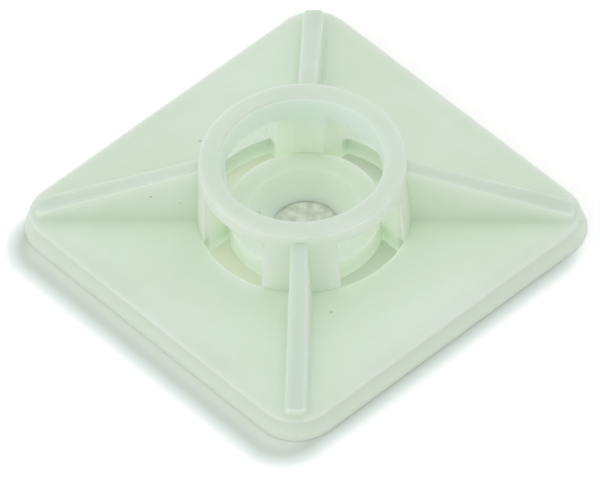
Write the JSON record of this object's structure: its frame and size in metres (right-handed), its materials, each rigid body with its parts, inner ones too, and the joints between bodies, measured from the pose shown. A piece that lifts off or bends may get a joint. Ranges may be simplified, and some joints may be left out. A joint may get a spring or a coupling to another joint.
{
  "type": "cable tie mount",
  "caption": "Flat square mount with ribs rising to a collar. A cable tie threads through the collar's windows, which are open through the base, and a countersunk screw through the middle holds the mount.",
  "frame": {"origin": "middle of the flat underside, where the screw hole's axis meets the surface that the mount is fixed to", "axes": "+Z out of that surface along the screw hole's axis; X and Y along the sides of the square plate"},
  "size_m": [0.028, 0.028, 0.0067],
  "materials": {
    "body": "natural nylon, milky pale green-white, slightly see-through, satin as moulded"
  },
  "bodies": {
    "root": {"mount_body": "body"}
  },
  "joints": []
}
